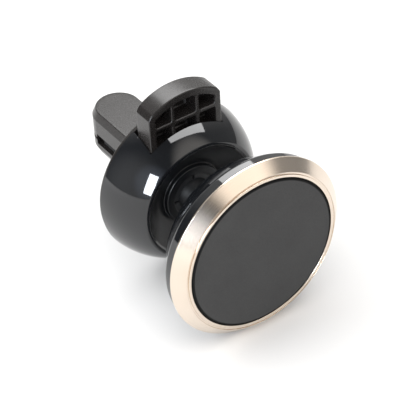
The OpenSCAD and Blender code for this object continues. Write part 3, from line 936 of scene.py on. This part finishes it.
def make_pivot_pin():
    low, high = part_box("pivot_pin")
    half = (high.x - low.x) / 2 / MM
    end = ((0.15, 0), (0.02, 0.08), (0, 0.2))
    steps = [(d, -half + x) for d, x in end] + [(d, half - x) for d, x in reversed(end)]
    levels = [(round_the_pivot(PIN_R - d, FACETS_SMALL), x) for d, x in steps]
    pin = weighted(finish_mesh(stack("pivot_pin_turned", levels, sideways), 40))
    place_piece(pin, "body", "pin_steel", PIN, "pivot_pin")


def wire(name, path, radius, sides=12):
    """A round wire along a list of points in metres, with flat ends."""
    verts, faces = [], []
    n = len(path)
    along = [(path[min(i + 1, n - 1)] - path[max(i - 1, 0)]).normalized() for i in range(n)]
    side = along[0].orthogonal().normalized()
    for i, (at, way) in enumerate(zip(path, along)):
        side = (side - way * side.dot(way)).normalized()
        other = way.cross(side)
        for k in range(sides):
            a = 2 * math.pi * k / sides
            verts.append(at + radius * MM * (math.cos(a) * side + math.sin(a) * other))
        if i:
            low, high = (i - 1) * sides, i * sides
            for k in range(sides):
                after = (k + 1) % sides
                faces.append((low + k, low + after, high + after, high + k))
    faces.append(tuple(range(sides - 1, -1, -1)))
    faces.append(tuple(range((n - 1) * sides, n * sides)))
    return finish_mesh(new_object(name, verts, faces), 50)


def make_return_spring():
    """The torsion spring on the pin.

    The real one is a single wire. A pose keeps each piece rigid, so it is drawn as two: the coil with its
    foot stays on the body and the leg goes with the lever, with a small gap between them.
    """
    low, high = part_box("return_spring")
    coil_r, half, turns = 1.48, 2.7, 6
    wire_r = (high.x - low.x) / 2 / MM - half
    foot_y, leg_y = 30.65, 30.08

    def around_pin(turn):
        a = 2 * math.pi * turn
        x = half * (2 * turn / turns - 1)
        return point(x, PIVOT_Y + coil_r * math.cos(a), PIVOT_Z + coil_r * math.sin(a))

    gap = 11 / 360  # of a turn
    steps = 24 * turns
    coil = [around_pin((turns - gap) * k / steps) for k in range(steps + 1)]
    foot = [point(-half, foot_y, height_of(low.z)), point(-half, leg_y, PIVOT_Z - coil_r)]
    spring = wire("return_spring_coil", foot + coil, wire_r)
    place_piece(spring, "body", "spring_steel", WIRE, "return_spring")
    leg = [around_pin(turns), point(half, leg_y, PIVOT_Z + coil_r), point(half, leg_y, height_of(high.z))]
    place_piece(wire("return_spring_leg", leg, wire_r), "lever", "spring_steel", WIRE)


for make in (
    make_ring, make_pad, make_dome, make_stud, make_bowl, make_bosses, make_cover, make_cover_screws,
    make_grip_pads, make_lever, make_pivot_pin, make_return_spring,
):
    make()

# ---------------------------------------------------------------- CAD nodes that stay
for names, material in (
    (("swivel_liner", "seat_cup", "seat_ring", "magnet_tray"), INNER),
    (("stud_washer", "stud_screw", "tray_screws"), SCREW),
    (("pressure_spring",), WIRE),
    (("magnets",), NICKEL),
    (("steel_yoke",), YOKE),
    (("pad_adhesive",), FILM),
):
    for name in names:
        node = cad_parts[name]
        node.data.materials.clear()
        node.data.materials.append(material)


# ---------------------------------------------------------------- stage
def area_light(name, at, target, size, power, colour=(1, 1, 1), lean=0):
    data = bpy.data.lights.new(name, "AREA")
    data.shape = "RECTANGLE"
    data.size, data.size_y = size
    data.energy = power
    data.color = colour
    light = link(bpy.data.objects.new(name, data))
    light.location = at
    light.rotation_mode = "QUATERNION"
    turn = (Vector(target) - Vector(at)).to_track_quat("-Z", "Y")
    light.rotation_quaternion = turn @ Quaternion((0, 0, 1), math.radians(lean))
    return light


def camera_axes(azimuth, elevation, roll):
    """Right, up and back vectors of a camera, angles in degrees. Azimuth 0 looks along +Y."""
    a, e, t = (math.radians(v) for v in (azimuth, elevation, roll))
    back = Vector((math.sin(a) * math.cos(e), -math.cos(a) * math.cos(e), math.sin(e)))
    level = Vector((math.cos(a), math.sin(a), 0))
    rise = Vector((-math.sin(a) * math.sin(e), math.cos(a) * math.sin(e), math.cos(e)))
    right = math.cos(t) * level + math.sin(t) * rise
    return right, -math.sin(t) * level + math.cos(t) * rise, back


# Azimuth, elevation and roll in degrees, distance and sideways shifts in metres, from a fit to the photo's
# outlines. The photo hardly fixes the distance. The turn about +Y, in degrees, was set afterwards.
CAMERA_ANGLES = (-31.9, 39.3, -4.7)
CAMERA_DISTANCE = 0.350
CAMERA_LEFT, CAMERA_UP = 0.01228, 0.01032
CAMERA_LENS = 162.5
CAMERA_TURN = 1.2


def make_camera():
    right, up, back = camera_axes(*CAMERA_ANGLES)
    data = bpy.data.cameras.new("camera")
    data.sensor_width = 36
    data.lens = CAMERA_LENS
    data.clip_start, data.clip_end = 0.01, 20
    camera = link(bpy.data.objects.new("camera", data))
    offset = back * CAMERA_DISTANCE - right * CAMERA_LEFT + up * CAMERA_UP
    turn = Matrix.Rotation(math.radians(-CAMERA_TURN), 3, "Y")
    right, up, back, offset = (turn @ v for v in (right, up, back, offset))
    camera.matrix_world = (
        Matrix.Translation(point(0, 0, 0) + offset) @ Matrix((right, up, back)).transposed().to_4x4()
    )
    scene.camera = camera


def make_floor():
    """A matt pale floor at the lowest point of the part at rest. A tilted head reaches below it."""
    size = 1.5
    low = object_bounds()[0].z
    floor = new_object(
        "floor",
        [(-size, -size, low), (size, -size, low), (size, size, low), (-size, size, low)],
        [(0, 1, 2, 3)],
    )
    m = bpy.data.materials.new("pale_floor")
    m.use_nodes = True
    shader = m.node_tree.nodes["Principled BSDF"]
    shader.inputs["Base Color"].default_value = (0.8, 0.8, 0.8, 1)
    shader.inputs["Roughness"].default_value = 1.0
    shader.inputs["Specular IOR Level"].default_value = 0.0
    floor.data.materials.append(m)


def towards(azimuth, elevation):
    """A direction: azimuth 0 is +Y, 90 is +X."""
    a, e = math.radians(azimuth), math.radians(elevation)
    return Vector((math.sin(a) * math.cos(e), math.cos(a) * math.cos(e), math.sin(e)))


def make_world():
    """A dim grey studio with soft glows about it, each a direction, where it fades and its colour."""
    world = bpy.data.worlds.new("studio")
    scene.world = world
    world.use_nodes = True
    tree = world.node_tree
    background = tree.nodes["Background"]
    coords = tree.nodes.new("ShaderNodeTexCoord").outputs["Generated"]
    total = None
    for direction, near, far, colour in (
        (towards(0, 90), 1.0, -1.0, (0.09, 0.09, 0.09)),  # overhead, over the whole sky
        (towards(25, 40), 0.97, 0.45, (0.8, 0.79, 0.77)),  # behind the object
        (towards(-100, 5), 0.97, 0.6, (0.5, 0.5, 0.5)),  # low on -X
        (towards(90, 12), 0.95, 0.3, (0.2, 0.2, 0.2)),  # low on +X
        (towards(160, 42), 0.97, 0.82, (1.45, 1.37, 1.28)),  # small, warm, in front
        (towards(-124, 20), 0.985, 0.88, (0.35, 0.42, 0.55)),  # small, cool, beside the camera
    ):
        dot = tree.nodes.new("ShaderNodeVectorMath")
        dot.operation = "DOT_PRODUCT"
        dot.inputs[1].default_value = direction
        tree.links.new(coords, dot.inputs[0])
        lobe = tree.nodes.new("ShaderNodeMapRange")
        lobe.interpolation_type = "SMOOTHSTEP"
        lobe.inputs["From Min"].default_value = far
        lobe.inputs["From Max"].default_value = near
        tree.links.new(dot.outputs["Value"], lobe.inputs["Value"])
        scale = tree.nodes.new("ShaderNodeVectorMath")
        scale.operation = "SCALE"
        scale.inputs[0].default_value = colour
        tree.links.new(lobe.outputs["Result"], scale.inputs["Scale"])
        if total is None:
            total = scale.outputs["Vector"]
        else:
            add = tree.nodes.new("ShaderNodeVectorMath")
            tree.links.new(total, add.inputs[0])
            tree.links.new(scale.outputs["Vector"], add.inputs[1])
            total = add.outputs["Vector"]
    tree.links.new(total, background.inputs["Color"])
    background.inputs["Strength"].default_value = 1.0


make_camera()
make_floor()
make_world()
centre = point(0, 30, 5)
# The softboxes are seen only as reflections, and the fills only light what is matt, so that the
# highlights and the shadows can be set apart.
top_shift = Vector((0.29, 0.215, 0))
top = area_light("softbox_top", (0.29, 0.215, 0.6), centre + top_shift, (0.66, 0.81), 11.2)
left = area_light("softbox_left", (-0.485, -0.335, 0.20), centre, (0.14, 0.29), 3.6, (0.88, 0.94, 1.0), -13)
for light in (top, left):
    light.visible_diffuse = False
for name, at, size, power in (
    ("overhead_fill", (-0.1, 0.05, 1.2), 1.7, 15),
    ("front_fill", (-0.5, -0.6, 0.35), 0.6, 2.2),
    ("rear_fill", (-0.5, 0.35, 0.4), 0.7, 4.5),
):
    area_light(name, at, centre, (size, size), power).visible_glossy = False
scene.view_settings.view_transform = "Standard"
